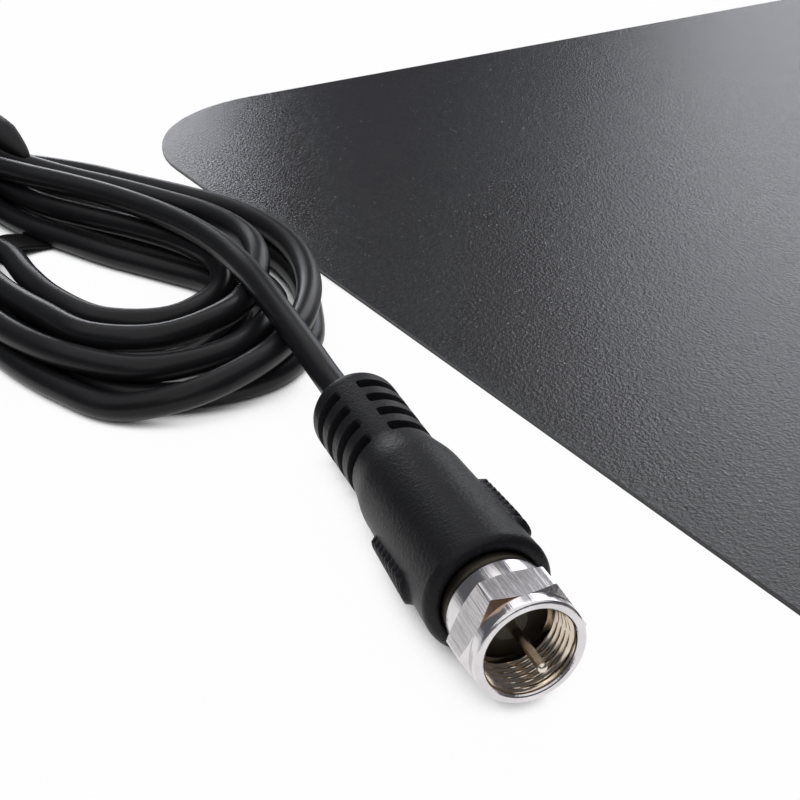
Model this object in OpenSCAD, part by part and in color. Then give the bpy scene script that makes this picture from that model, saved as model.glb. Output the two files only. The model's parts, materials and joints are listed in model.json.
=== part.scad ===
// Flat indoor television antenna: a laminated sheet with two foil elements, a small
// connection box on its long edge, and a coaxial lead, wound in a tied hank, that ends
// in a moulded screw-on plug. Millimetres, +Z up. The origin lies under the middle of
// the sheet, on the surface that it rests on.

/* [Sheet] */
// Length of the sheet along X
sheet_l = 330; // [290:5:420]
// Width of the sheet along Y
sheet_w = 240; // [215:5:300]
// Radius of the sheet's four corners
corner_r = 31; // [5:1:50]
// Thickness of the back film
back_t = 0.3; // [0.25:0.05:0.6]
// Thickness of the front film
front_t = 0.35; // [0.3:0.05:0.6]
// Thickness of the foil elements
foil_t = 0.1; // [0.05:0.01:0.2]

/* [Foil elements] */
// Bare margin between an element and the sheet's edge
margin = 18; // [12:1:30]
// Gap between the two elements
element_gap = 14; // [8:1:18]
// Length of the taper from the wide plate to its feed tab
taper_l = 34; // [20:1:50]
// Width of a feed tab
tab_w = 12; // [9:1:16]
// Width of the tuning slots in an element
tuning_w = 3; // [1:0.5:6]
// Number of tuning slots in an element
tuning_n = 3; // [1:1:5]

/* [Connection box] */
// Length of the box along the sheet's edge
box_l = 52; // [50:1:70]
// Width of the box across the edge
box_w = 24; // [22:1:34]
// Distance from the sheet's edge to the box
box_inset = 2; // [1:0.5:8]
// Radius of the box's upright corners
box_r = 4; // [2:0.5:6]
// Radius of the box's top edges
box_edge_r = 1.2; // [0.5:0.1:1.4]
// Wall of the cover
wall = 1.6; // [1.2:0.1:2.2]
// Thickness of the cover's roof
roof_t = 1.5; // [1.5:0.1:2]
// Thickness of the base plate
floor_t = 1.4; // [1:0.1:2]
// Height of the locating lip on the base
lip_h = 1.5; // [1:0.1:2.5]
// Thickness of the locating lip
lip_t = 0.9; // [0.6:0.1:1]
// Diameter of the screw bosses
boss_d = 5.2; // [4.6:0.1:5.6]
// Distance from a boss to the end wall's outer face
boss_inset = 5.5; // [5.3:0.1:5.8]

/* [Box contents] */
// Length of the circuit board
board_l = 32; // [30:1:32]
// Width of the circuit board
board_w = 14; // [13:0.5:15]
// Thickness of the circuit board
board_t = 1; // [0.8:0.1:1.2]
// Distance of a contact rivet from the middle
rivet_x = 12; // [11:0.5:13]
// Diameter of a rivet's barrel
rivet_d = 2.4; // [2:0.1:3]
// Diameter of a rivet's flange under the foil
flange_d = 5; // [4.4:0.1:6]
// Thickness of a rivet's flange
flange_t = 0.2; // [0.1:0.05:0.25]
// Diameter of a rivet's head on the board
rivet_head_d = 4; // [3.6:0.1:4.6]
// Thickness of a rivet's head
rivet_head_t = 0.4; // [0.3:0.05:0.8]
// Diameter of a cover screw's shank
screw_d = 2; // [1.8:0.1:2.2]
// Diameter of a cover screw's head
screw_head_d = 3.8; // [3.6:0.1:4.2]
// Height of a cover screw's head
screw_head_h = 0.9; // [0.6:0.05:1]
// Length of a cover screw's shank
screw_l = 6; // [5:0.5:6.5]
// Length of the ferrite core along X
core_l = 7; // [6:0.5:8]
// Width of the ferrite core along Y
core_w = 5; // [4:0.5:5]
// Height of the ferrite core
core_h = 3.4; // [3.4:0.1:4.2]
// Diameter of the two holes in the ferrite core
core_hole_d = 1.3; // [1:0.1:1.4]
// Diameter of the winding wire
winding_d = 0.5; // [0.3:0.05:0.6]

/* [Lead] */
// Diameter of the coaxial lead
lead_d = 3.7; // [3.6:0.1:4]
// Diameter of the lead's inner insulation
core_d = 2.2; // [1.8:0.1:2.3]
// Diameter of the lead's centre wire
wire_d = 0.7; // [0.5:0.05:0.9]
// Radius of the grommet's flanges
grommet_r = 3.1; // [2.9:0.1:3.1]
// Radius of the grommet where the wall grips it
grommet_neck_r = 2.5; // [2.3:0.1:2.6]
// Length of the grommet's tail outside the box
grommet_l = 16; // [12:1:20]

/* [Plug] */
// Distance between two flats of the coupling nut
nut_af = 11.4; // [11.4:0.1:12]
// Length of the coupling nut
nut_l = 7.9; // [7.5:0.1:9]
// Diameter of the nut's round front collar
collar_d = 11.3; // [10.8:0.1:11.3]
// Length of the nut's round front collar
collar_l = 1.5; // [1.2:0.1:2.6]
// Diameter of the threaded bore
bore_d = 9; // [8.8:0.1:9.2]
// Diameter of the bore's mouth
mouth_d = 9.4; // [9.3:0.1:9.8]
// Depth of the threaded bore
bore_l = 6.2; // [5.8:0.1:6.4]
// Diameter of the post's barrel that the nut turns on
barrel_d = 6.5; // [6:0.1:7]
// Running clearance between nut and barrel, on the radius
run_gap = 0.05; // [0.02:0.01:0.1]
// Diameter of the post's flange inside the nut
post_flange_d = 8.2; // [7.6:0.1:8.4]
// Thickness of the post's flange
post_flange_t = 1.1; // [0.8:0.1:1.4]
// Diameter of the centre pin
pin_d = 1; // [0.8:0.05:1.1]
// How far the pin stands out of the nut
pin_out = 2.5; // [0.5:0.1:3]
// Diameter of the body's flange behind the nut
body_flange_d = 10.5; // [10:0.1:10.6]
// Distance from the nut's front to the boot's front
boot_front = 9.3; // [9.3:0.1:9.6]
// Distance from the nut's front to the boot's rear
boot_rear = 51.5; // [51:0.5:55]
// Diameter of the boot at its front
boot_d = 13.7; // [13:0.1:14.5]
// Diameter of the boot ahead of the shoulder
waist_d = 12.4; // [11.6:0.1:12.8]
// Diameter of the strain relief behind the shoulder
relief_d = 10.7; // [10:0.1:11]
// Diameter of the strain relief ahead of its rounded end
rear_d = 11; // [10.4:0.1:11.4]
// Length of the strain relief's rounded end
rear_round = 2.3; // [1.6:0.1:3]
// Diameter of the flat face round the lead at the boot's rear
tail_d = 6.6; // [5.6:0.1:7.4]
// Radius of the boot's front edge
boot_edge_r = 1.1; // [0.6:0.1:1.2]
// Number of slots on each side of the strain relief
slot_n = 4; // [2:1:4]
// Distance between two slots
slot_pitch = 3.53; // [3.2:0.01:3.8]
// Width of a slot
slot_w = 1.65; // [1:0.05:1.8]
// Width of the spines that join the ribs above and below
spine_w = 2.6; // [2:0.1:4]
// Diameter of the boot's core inside the slots
slot_core_d = 6.8; // [6.2:0.1:7.4]
// Length of a grip pad
pad_l = 11.4; // [8:0.1:12]
// Width of a grip pad
pad_w = 4.2; // [3:0.1:6]
// Height of a grip pad's teeth above the boot
pad_h = 0.45; // [0.3:0.05:1]
// Number of teeth on a grip pad
pad_n = 10; // [6:1:12]
// Slope of the grip pads
pad_slope = 8; // [0:1:15]

/* [Plug lying on the surface] */
// Turn of the plug about its own axis
plug_roll = 20; // [0:1:45]
// Upward tilt of the plug's mouth
plug_tilt = 1.8; // [1:0.1:3]
// Turn of the nut about the plug's axis
nut_turn = 11.5; // [0:0.5:60]

/* [Hidden] */
$fn = 48;

// Clearance between pieces that fit into each other
gap = 0.05;
// Amount by which a cut passes the face that it leaves
cut = 1;
// Room above and below the grommet's flange inside the box
grommet_room = 0.25;

// Stack of the laminate
foil_z = back_t;
sheet_t = back_t + front_t;

// Places in and on the connection box
box_y = -sheet_w / 2 + box_inset + box_w / 2;
floor_z = sheet_t + floor_t;
exit_z = floor_z + grommet_room + grommet_r;
box_top = exit_z + grommet_r + grommet_room + roof_t;
box_h = box_top - sheet_t;
boss_x = box_l / 2 - boss_inset;
board_z = floor_z + board_t;
rivet_y = box_y;
box_face_y = box_y - box_w / 2;
grommet_end_y = box_face_y - grommet_l;
grommet_flange_t = 1.2;
grommet_tip_r = 2.5;
screw_seat_z = box_top - screw_head_h - 0.1;
core_y = box_y + board_w / 2 - core_w / 2 - 0.5;
core_hole_x = 1.7;
clamp_t = 0.4;
clamp_w = 2.4;
clamp_y = box_y - board_w / 2 + 2.2;
lead_stop_y = clamp_y + clamp_w / 2 + 0.3;

// Plug: distances along its axis, from the nut's front plane towards the lead
barrel_end = 16;
post_flange_z = bore_l - 0.1 - post_flange_t;
post_tail_d = 3;
post_bore_d = core_d + 2 * gap;
insulator_d = 3.8;
insulator_l = 2;
sleeve_l = 9;
sleeve_t = 0.55;
sleeve_start = barrel_end + 0.1;
body_front = nut_l + 0.15;
body_flange_end = boot_front + 0.6;
body_neck_d = 8.8;
shoulder_start = 29.5;
shoulder_end = 36;
relief_end = boot_rear - rear_round;
slot_first = 36.3;
pad_start = 14.6;

// Place of the plug: the middle of the nut's front plane, and the way its mouth points
plug_at = [-197.5, -62.75, 7.2];
plug_azimuth = -101.7;

// Hank: its waist, and the direction from the waist to the lobe beside the plug
hank_at = [-209, 105, 0];
hank_azimuth = -81;
hank_h = 10.8;
// Its two lobes: reach from the waist, place of the widest spot, half-widths there
near_reach = 105;
near_wide_at = 62;
near_back = 27.5;
near_front = 21;
near_roundness = [2, 2.6];
far_reach = 82;
far_wide_at = 48;
far_back = 25;
far_front = 23;
far_roundness = [2.2, 2.2];
// Half-widths at the waist
waist_back = 15;
waist_front = 8;

// Band round the hank
tie_w = 4;
tie_t = 0.7;
tie_at = 9;
tie_back = 16.2;
tie_front = 9.2;
tie_r = 1.2;

// Route of the lead from the grommet to the hank, chosen by hand
link_route = [
    [-0.6, -141, 4.9], [-4, -145, 3.8], [-10, -148, 2.8],
    [-18, -149, 2.1], [-32, -149, 1.9], [-52, -148, 1.9], [-74, -146, 1.9],
    [-96, -145, 1.9], [-118, -145, 1.9], [-140, -145, 1.9], [-162, -145, 1.9],
    [-184, -143, 1.9], [-204, -138, 1.9], [-222, -129, 1.9], [-236, -116, 1.9],
    [-245, -99, 1.9], [-250, -80, 1.9], [-252, -60, 1.9], [-252, -40, 1.9],
    [-250, -20, 1.9], [-247, 0, 1.9], [-244, 20, 1.9], [-241, 40, 1.9],
    [-237, 60, 1.9], [-232, 78, 1.9], [-226, 93, 1.9], [-221, 106, 1.9],
    [-217, 118, 2], [-214, 127, 3]
];

function smooth(u) = (1 - cos(180 * u)) / 2;
function unit(v) = v / norm(v);

// A point of the smooth curve through four neighbouring route points
function curve(a, b, c, d, u) =
    0.5 * (2 * b + (c - a) * u + (2 * a - 5 * b + 4 * c - d) * u * u
        + (3 * b - a - 3 * c + d) * u * u * u);
function curve_points(p, parts) =
    let (n = len(p) - 1)
    [
        for (i = [0 : n - 1], k = [0 : parts - 1])
            curve(p[max(i - 1, 0)], p[i], p[i + 1], p[min(i + 2, n)], k / parts),
        p[n]
    ];

// A tube of flat sides along a row of points, square to the first and last stretch
module tube(p, d, sides = 8) {
    n = len(p) - 1;
    rings = [
        for (i = [0 : n])
            let (
                t = unit(p[min(i + 1, n)] - p[max(i - 1, 0)]),
                side = unit(cross([0, 0, 1], t)),
                up = cross(t, side)
            )
            for (k = [0 : sides - 1])
                let (a = 360 * (k + 0.5) / sides)
                p[i] + d / 2 * (cos(a) * side + sin(a) * up)
    ];
    walls = [
        for (i = [0 : n - 1], k = [0 : sides - 1])
            let (a = i * sides + k, b = i * sides + (k + 1) % sides)
            [a, a + sides, b + sides, b]
    ];
    first = [for (k = [0 : sides - 1]) k];
    last = [for (k = [sides - 1 : -1 : 0]) n * sides + k];
    polyhedron(rings, concat([first], walls, [last]), convexity = 10);
}

// A round rod between two points
module rod(a, b, d) {
    v = b - a;
    translate(a)
        rotate([0, acos(v[2] / norm(v)), atan2(v[1], v[0])])
            cylinder(d = d, h = norm(v));
}

module rounded_rect(l, w, r) {
    hull_x = l / 2 - r;
    hull_y = w / 2 - r;
    square([l, w - 2 * r], center = true);
    square([l - 2 * r, w], center = true);
    for (x = [-hull_x, hull_x], y = [-hull_y, hull_y])
        translate([x, y]) circle(r = r);
}

// Foil element on the right of the middle, grown by c on every side
function element_points(c) = [
    [rivet_x - tab_w / 2 - c, rivet_y - tab_w / 2 - c],
    [rivet_x + tab_w / 2 + c, rivet_y - tab_w / 2 - c],
    [rivet_x + tab_w / 2 + c, rivet_y + tab_w / 2],
    [sheet_l / 2 - margin + c, rivet_y + tab_w / 2 + taper_l - c],
    [sheet_l / 2 - margin + c, sheet_w / 2 - margin + c],
    [element_gap / 2 - c, sheet_w / 2 - margin + c],
    [element_gap / 2 - c, rivet_y + tab_w / 2 + taper_l],
    [rivet_x - tab_w / 2 - c, rivet_y + tab_w / 2]
];

module element_sheet() {
    slot_l = (sheet_l / 2 - margin - element_gap / 2) * 0.6;
    top = sheet_w / 2 - margin;
    bottom = rivet_y + tab_w / 2 + taper_l;
    translate([0, 0, foil_z])
        linear_extrude(foil_t)
            difference() {
                polygon(element_points(0));
                translate([rivet_x, rivet_y]) circle(d = rivet_d + 2 * gap);
                for (i = [1 : tuning_n])
                    translate([
                        sheet_l / 2 - margin - slot_l,
                        bottom + (top - bottom) * i / (tuning_n + 1) - tuning_w / 2
                    ])
                        square([slot_l + cut, tuning_w]);
            }
}

module rivet_holes(d) {
    for (x = [-rivet_x, rivet_x])
        translate([x, rivet_y, -cut]) cylinder(d = d, h = box_top + 2 * cut);
}

module back_sheet() {
    color([0.13, 0.13, 0.14])
        difference() {
            linear_extrude(back_t) rounded_rect(sheet_l, sheet_w, corner_r, $fn = 96);
            rivet_holes(flange_d + 4 * gap);
        }
}

module left_element() {
    color([0.72, 0.73, 0.74]) mirror([1, 0, 0]) element_sheet();
}

module right_element() {
    color([0.72, 0.73, 0.74]) element_sheet();
}

// The front film is moulded over the foil, so its underside is hollow by the foil
module front_sheet() {
    color([0.22, 0.22, 0.24])
        difference() {
            translate([0, 0, back_t])
                linear_extrude(front_t) rounded_rect(sheet_l, sheet_w, corner_r, $fn = 96);
            for (side = [0, 1])
                mirror([side, 0, 0])
                    translate([0, 0, back_t - cut])
                        linear_extrude(foil_t + cut) polygon(element_points(0.1));
            rivet_holes(rivet_d + 2 * gap);
        }
}

module box_base() {
    lip_l = box_l - 2 * wall - 0.2;
    lip_w = box_w - 2 * wall - 0.2;
    lip_r = box_r - wall - 0.1;
    color([0.11, 0.11, 0.12])
        difference() {
            union() {
                translate([0, box_y, sheet_t])
                    linear_extrude(floor_t) rounded_rect(box_l, box_w, box_r);
                translate([0, box_y, floor_z])
                    linear_extrude(lip_h)
                        difference() {
                            rounded_rect(lip_l, lip_w, lip_r);
                            square([lip_l - 2 * lip_t, lip_w - 2 * lip_t], center = true);
                        }
                for (x = [-boss_x, boss_x])
                    translate([x, box_y, floor_z])
                        cylinder(d = boss_d, h = box_top - roof_t - floor_z);
            }
            for (x = [-boss_x, boss_x])
                translate([x, box_y, screw_seat_z - screw_l - 0.3])
                    cylinder(d = screw_d + 2 * gap, h = box_h);
            rivet_holes(rivet_d + 2 * gap);
            translate([-grommet_r - gap, box_face_y - cut, floor_z])
                cube([2 * (grommet_r + gap), wall + lip_t + 2 * cut, lip_h + cut]);
        }
}

// Solid outline of the cover: its plan, end view and side view in common
module cover_block(inset, top) {
    l = box_l - 2 * inset;
    w = box_w - 2 * inset;
    r = max(box_edge_r - inset, 0.2);
    intersection() {
        translate([0, box_y, floor_z]) linear_extrude(top - floor_z)
            rounded_rect(l, w, box_r - inset);
        translate([0, box_y + w / 2, 0]) rotate([90, 0, 0]) linear_extrude(w)
            view(l, top, r);
        translate([-l / 2, box_y, 0]) rotate([90, 0, 90]) linear_extrude(l)
            view(w, top, r);
    }
}

// Side view of a block with two round top corners
module view(l, top, r) {
    translate([-l / 2, 0]) square([l, top - r]);
    translate([-l / 2 + r, 0]) square([l - 2 * r, top]);
    for (x = [-1, 1]) translate([x * (l / 2 - r), top - r]) circle(r = r);
}

module box_cover() {
    color([0.12, 0.12, 0.13])
        difference() {
            cover_block(0, box_top);
            translate([0, box_y, floor_z - cut])
                linear_extrude(box_top - roof_t - floor_z + cut)
                    rounded_rect(box_l - 2 * wall, box_w - 2 * wall, box_r - wall);
            for (x = [-boss_x, boss_x]) {
                translate([x, box_y, floor_z]) cylinder(d = screw_d + 0.4, h = box_h);
                translate([x, box_y, screw_seat_z])
                    cylinder(d = screw_head_d + 0.3, h = box_h);
            }
            translate([0, box_face_y - cut, exit_z])
                rotate([-90, 0, 0])
                    cylinder(r = grommet_neck_r + gap, h = wall + 2 * cut);
            translate([-grommet_neck_r - gap, box_face_y - cut, floor_z - cut])
                cube([
                    2 * (grommet_neck_r + gap), wall + 2 * cut, exit_z - floor_z + cut
                ]);
        }
}

module cover_screws() {
    recess = screw_head_d * 0.55;
    blade = 0.6;
    color([0.55, 0.56, 0.58])
        for (x = [-boss_x, boss_x])
            translate([x, box_y, screw_seat_z])
                difference() {
                    union() {
                        cylinder(d = screw_head_d, h = screw_head_h);
                        translate([0, 0, -screw_l]) cylinder(d = screw_d, h = screw_l);
                    }
                    for (a = [0, 90])
                        rotate([0, 0, a])
                            translate([-recess / 2, -blade / 2, screw_head_h * 0.4])
                                cube([recess, blade, screw_head_h]);
                }
}

module contact_rivets() {
    color([0.78, 0.64, 0.35])
        for (x = [-rivet_x, rivet_x])
            translate([x, rivet_y, 0])
                difference() {
                    union() {
                        translate([0, 0, foil_z - flange_t])
                            cylinder(d = flange_d, h = flange_t);
                        translate([0, 0, foil_z - flange_t])
                            cylinder(d = rivet_d, h = board_z + rivet_head_t - foil_z + flange_t);
                        translate([0, 0, board_z]) cylinder(d = rivet_head_d, h = rivet_head_t);
                    }
                    translate([0, 0, foil_z - flange_t - cut])
                        cylinder(d = rivet_d * 0.55, h = box_h);
                }
}

module circuit_board() {
    color([0.1, 0.36, 0.2])
        difference() {
            translate([-board_l / 2, box_y - board_w / 2, floor_z])
                cube([board_l, board_w, board_t]);
            rivet_holes(rivet_d + 2 * gap);
        }
}

module balun_core() {
    color([0.25, 0.24, 0.25])
        difference() {
            translate([0, core_y + core_w / 2, board_z])
                rotate([90, 0, 0])
                    linear_extrude(core_w)
                        translate([0, core_h / 2]) rounded_rect(core_l, core_h, core_h * 0.35);
            for (x = [-core_hole_x, core_hole_x])
                translate([x, core_y - core_w, board_z + core_h / 2])
                    rotate([-90, 0, 0]) cylinder(d = core_hole_d, h = 2 * core_w);
        }
}

// One turn of wire: through one hole, round the back, through the other and down
module balun_winding() {
    z = board_z + core_h / 2;
    front = core_y - core_w / 2 - 0.6;
    back = core_y + core_w / 2 + 0.4;
    color([0.7, 0.36, 0.16]) {
        for (x = [-core_hole_x, core_hole_x]) {
            rod([x, front, z], [x, back, z], winding_d);
            rod([x, front, board_z], [x, front, z], winding_d);
            translate([x, front, z]) sphere(d = winding_d);
        }
        rod([-core_hole_x, back, z], [core_hole_x, back, z], winding_d);
        for (x = [-core_hole_x, core_hole_x]) translate([x, back, z]) sphere(d = winding_d);
    }
}

// Metal saddle that holds the lead down on the board
module earth_clamp() {
    r = lead_d / 2 + gap;
    color([0.75, 0.76, 0.77])
        translate([0, clamp_y + clamp_w / 2, exit_z])
            rotate([90, 0, 0])
                linear_extrude(clamp_w)
                    difference() {
                        union() {
                            circle(r = r + clamp_t);
                            translate([-r - clamp_t, board_z - exit_z])
                                square([2 * (r + clamp_t), exit_z - board_z]);
                            translate([-r - 2, board_z - exit_z]) square([2 * r + 4, clamp_t]);
                        }
                        circle(r = r);
                        translate([-r, board_z - exit_z - cut])
                            square([2 * r, exit_z - board_z + cut]);
                    }
}

// Along the lead where it leaves the box: +X runs outwards from the box's wall
module exit_frame() {
    translate([0, box_face_y, exit_z]) rotate([0, 0, -90]) children();
}

// Solid of revolution about X, from points that are [x, radius]
module turned(points) {
    rotate([0, 90, 0]) rotate_extrude() polygon([for (p = points) [p[1], p[0]]]);
}

module lead_end() {
    color([0.07, 0.07, 0.08])
        exit_frame()
            turned([
                [box_face_y - lead_stop_y, core_d / 2 + gap], [grommet_l, core_d / 2 + gap],
                [grommet_l, lead_d / 2], [box_face_y - lead_stop_y, lead_d / 2]
            ]);
}

module lead_core() {
    color([0.93, 0.93, 0.9])
        exit_frame()
            turned([
                [box_face_y - lead_stop_y - 1.2, wire_d / 2 + gap],
                [grommet_l, wire_d / 2 + gap],
                [grommet_l, core_d / 2], [box_face_y - lead_stop_y - 1.2, core_d / 2]
            ]);
}

module lead_wire() {
    bend_y = lead_stop_y + 1.8;
    color([0.75, 0.42, 0.2]) {
        rod([0, grommet_end_y, exit_z], [0, bend_y, exit_z], wire_d);
        translate([0, bend_y, exit_z]) sphere(d = wire_d);
        rod([0, bend_y, board_z], [0, bend_y, exit_z], wire_d);
    }
}

// Rubber grommet: a flange on each side of the wall and a ribbed tail
module lead_grommet() {
    rib = (grommet_l - 2) / 9;
    tip = grommet_tip_r;
    color([0.08, 0.08, 0.09])
        exit_frame()
            turned(concat(
                [
                    [-wall - grommet_flange_t, lead_d / 2 + gap],
                    [-wall - grommet_flange_t, grommet_r], [-wall, grommet_r],
                    [-wall, grommet_neck_r], [0, grommet_neck_r], [0, grommet_r],
                    [2, grommet_r]
                ],
                [
                    for (i = [0 : 3])
                        let (
                            x = 2 + rib * (2 * i + 0.6),
                            r = grommet_r + (tip - grommet_r) * x / grommet_l
                        )
                        each [
                            [x, r], [x, r - 0.45], [x + rib, r - 0.45], [x + rib, r]
                        ]
                ],
                [[grommet_l, tip], [grommet_l, lead_d / 2 + gap]]
            ));
}

module lead_link() {
    start = [for (y = [0, 1.2, 2.5]) [0, grommet_end_y - y, exit_z]];
    color([0.06, 0.06, 0.07]) tube(curve_points(concat(start, link_route), 2), lead_d);
}

// Half-width of one side of a lobe at a distance s from the waist
function lobe_width(s, reach, widest, narrow, wide, power) =
    s < widest
        ? narrow + (wide - narrow) * smooth(s / widest)
        : wide * pow(max(1 - pow((s - widest) / (reach - widest), power), 0), 1 / power);

// One side of a lobe from the waist to its round end, in steps that close up there
function lobe_side(reach, widest, narrow, wide, power) =
    [
        for (i = [0 : 12])
            let (s = reach * sin(90 * i / 12))
            [s, lobe_width(s, reach, widest, narrow, wide, power)]
    ];
function backwards(p) = [for (i = [len(p) - 1 : -1 : 0]) p[i]];
function inner(p) = [for (i = [1 : len(p) - 2]) p[i]];

module hank_outline() {
    near_rear_side = lobe_side(near_reach, near_wide_at, waist_back, near_back, near_roundness[0]);
    near_front_side = lobe_side(near_reach, near_wide_at, waist_front, near_front, near_roundness[1]);
    far_rear_side = lobe_side(far_reach, far_wide_at, waist_back, far_back, far_roundness[0]);
    far_front_side = lobe_side(far_reach, far_wide_at, waist_front, far_front, far_roundness[1]);
    polygon(concat(
        near_rear_side,
        [for (p = backwards(near_front_side)) if (p[0] < near_reach) [p[0], -p[1]]],
        [for (p = inner(far_front_side)) [-p[0], -p[1]]],
        [for (p = backwards(far_rear_side)) if (p[0] > 0) [-p[0], p[1]]]
    ));
}

module hank_frame() {
    translate(hank_at) rotate([0, 0, hank_azimuth]) children();
}

// Band round the hank at its waist, grown by c
module tie_block(c) {
    translate([tie_at - tie_w / 2 - c, -tie_front - tie_t - c, -cut])
        cube([tie_w + 2 * c, tie_front + tie_back + 2 * (tie_t + c), cut + tie_t + c]);
}

module lead_hank() {
    color([0.06, 0.06, 0.07])
        hank_frame()
            difference() {
                linear_extrude(hank_h) hank_outline();
                tie_block(gap);
            }
}

module hank_tie() {
    w = tie_front + tie_back + 2 * tie_t;
    h = hank_h + 2 * tie_t + gap;
    color([0.05, 0.05, 0.05])
        hank_frame()
            translate([tie_at + tie_w / 2, (tie_back - tie_front) / 2, 0])
                rotate([90, 0, -90])
                    linear_extrude(tie_w)
                        translate([0, h / 2])
                            difference() {
                                rounded_rect(w, h, tie_r);
                                rounded_rect(w - 2 * tie_t, h - 2 * tie_t, tie_r - tie_t);
                            }
}

// Plug frame: +X points out of the mouth, the origin is in the nut's front plane
module plug_frame() {
    translate(plug_at)
        rotate([0, 0, plug_azimuth])
            rotate([0, -plug_tilt, 0])
                rotate([plug_roll, 0, 0])
                    children();
}

function plug_point(t) =
    plug_at - t * [
        cos(plug_tilt) * cos(plug_azimuth), cos(plug_tilt) * sin(plug_azimuth), sin(plug_tilt)
    ];

module lead_free_end() {
    route = [
        [-185.4, 8, 9], [-185.7, 3.6, 8.1], [-185.6, -0.6, 7], plug_point(boot_rear + 6),
        plug_point(boot_rear + 3), plug_point(boot_rear)
    ];
    color([0.06, 0.06, 0.07]) tube(curve_points(route, 2), lead_d);
}

// Outer radius of the boot at a distance t behind the nut's front plane
function boot_r(t) =
    t < shoulder_start
        ? (boot_d + (waist_d - boot_d) * (t - boot_front) / (shoulder_start - boot_front)) / 2
        : t < shoulder_end
            ? (waist_d + (relief_d - waist_d)
                * smooth((t - shoulder_start) / (shoulder_end - shoulder_start))) / 2
            : (relief_d + (rear_d - relief_d) * (t - shoulder_end) / (relief_end - shoulder_end)) / 2;

module boot_body() {
    turned(concat(
        [[-boot_front, body_flange_d / 2 + gap]],
        [
            for (a = [90 : -15 : 0])
                [
                    -boot_front - boot_edge_r * (1 - sin(a)),
                    boot_r(boot_front) - boot_edge_r * (1 - cos(a))
                ]
        ],
        [for (t = [shoulder_start : (shoulder_end - shoulder_start) / 8 : shoulder_end]) [-t, boot_r(t)]],
        [
            for (a = [0 : 15 : 90])
                [
                    -relief_end - rear_round * sin(a),
                    tail_d / 2 + (rear_d - tail_d) / 2 * cos(a)
                ]
        ],
        [
            [-boot_rear, lead_d / 2 + gap],
            [-sleeve_start - sleeve_l - gap, lead_d / 2 + gap],
            [-sleeve_start - sleeve_l - gap, lead_d / 2 + 2 * gap + sleeve_t],
            [-barrel_end - gap, lead_d / 2 + 2 * gap + sleeve_t],
            [-barrel_end - gap, body_neck_d / 2 + gap],
            [-body_flange_end - gap, body_neck_d / 2 + gap],
            [-body_flange_end - gap, body_flange_d / 2 + gap]
        ]
    ));
}

module relief_slots() {
    for (i = [0 : slot_n - 1])
        translate([-slot_first - i * slot_pitch, 0, 0])
            difference() {
                rotate([0, 90, 0]) cylinder(d = boot_d, h = slot_w, center = true);
                rotate([0, 90, 0]) cylinder(d = slot_core_d, h = slot_w + cut, center = true);
                cube([slot_w + cut, spine_w, 2 * boot_d], center = true);
            }
}

// Serrated pad on one side of the boot, sloping down towards the front
module grip_pad(side) {
    middle = pad_start + pad_l / 2;
    root = body_neck_d / 2 + 4 * gap;
    pitch = pad_l / pad_n;
    teeth = concat(
        [[-pad_start, root], [-pad_start - pad_l, root]],
        [
            for (i = [pad_n - 1 : -1 : 0])
                let (t = pad_start + i * pitch)
                each [
                    [-t - pitch, boot_r(t + pitch) + pad_h * 0.3],
                    [-t - pitch * 0.62, boot_r(t + pitch / 2) + pad_h],
                    [-t - pitch * 0.38, boot_r(t + pitch / 2) + pad_h]
                ]
        ],
        [[-pad_start, boot_r(pad_start) + pad_h * 0.3]]
    );
    intersection() {
        translate([0, 0, -pad_w]) linear_extrude(2 * pad_w)
            mirror([0, side < 0 ? 1 : 0]) polygon(teeth);
        translate([-middle, 0, 0])
            rotate([0, pad_slope, 0])
                rotate([90, 0, 0])
                    linear_extrude(2 * boot_d, center = true)
                        rounded_rect(pad_l, pad_w, pad_w * 0.45);
        rotate([0, 90, 0]) cylinder(d = boot_d + 2 * pad_h + 0.2, h = 4 * boot_rear, center = true);
    }
}

module plug_boot() {
    color([0.1, 0.1, 0.11])
        plug_frame()
            difference() {
                union() {
                    boot_body();
                    for (side = [-1, 1]) grip_pad(side);
                }
                relief_slots();
            }
}

module plug_lead() {
    color([0.07, 0.07, 0.08])
        plug_frame()
            turned([
                [-boot_rear, core_d / 2 + gap], [-barrel_end - 10.5, core_d / 2 + gap],
                [-barrel_end - 10.5, post_tail_d / 2 + gap],
                [-sleeve_start - 0.5, post_tail_d / 2 + gap],
                [-sleeve_start - 0.5, lead_d / 2], [-boot_rear, lead_d / 2]
            ]);
}

module crimp_sleeve() {
    color([0.7, 0.7, 0.72])
        plug_frame()
            turned([
                [-sleeve_start - sleeve_l, lead_d / 2 + gap], [-sleeve_start, lead_d / 2 + gap],
                [-sleeve_start, lead_d / 2 + gap + sleeve_t],
                [-sleeve_start - sleeve_l, lead_d / 2 + gap + sleeve_t]
            ]);
}

module connector_body() {
    color([0.62, 0.62, 0.64])
        plug_frame()
            turned([
                [-body_front, barrel_d / 2 + gap], [-body_front, body_flange_d / 2 - 0.3],
                [-body_front - 0.3, body_flange_d / 2], [-body_flange_end, body_flange_d / 2],
                [-body_flange_end, body_neck_d / 2], [-barrel_end, body_neck_d / 2],
                [-barrel_end, barrel_d / 2 + gap]
            ]);
}

module inner_post() {
    t = post_flange_z;
    color([0.66, 0.64, 0.6])
        plug_frame()
            turned([
                [-t, insulator_d / 2 + gap], [-t, post_flange_d / 2 - 0.2],
                [-t - 0.2, post_flange_d / 2], [-t - post_flange_t, post_flange_d / 2],
                [-t - post_flange_t, barrel_d / 2], [-barrel_end, barrel_d / 2],
                [-barrel_end, post_tail_d / 2], [-barrel_end - 10, post_tail_d / 2],
                [-barrel_end - 10, post_bore_d / 2], [-t - insulator_l - gap, post_bore_d / 2],
                [-t - insulator_l - gap, insulator_d / 2 + gap]
            ]);
}

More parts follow.
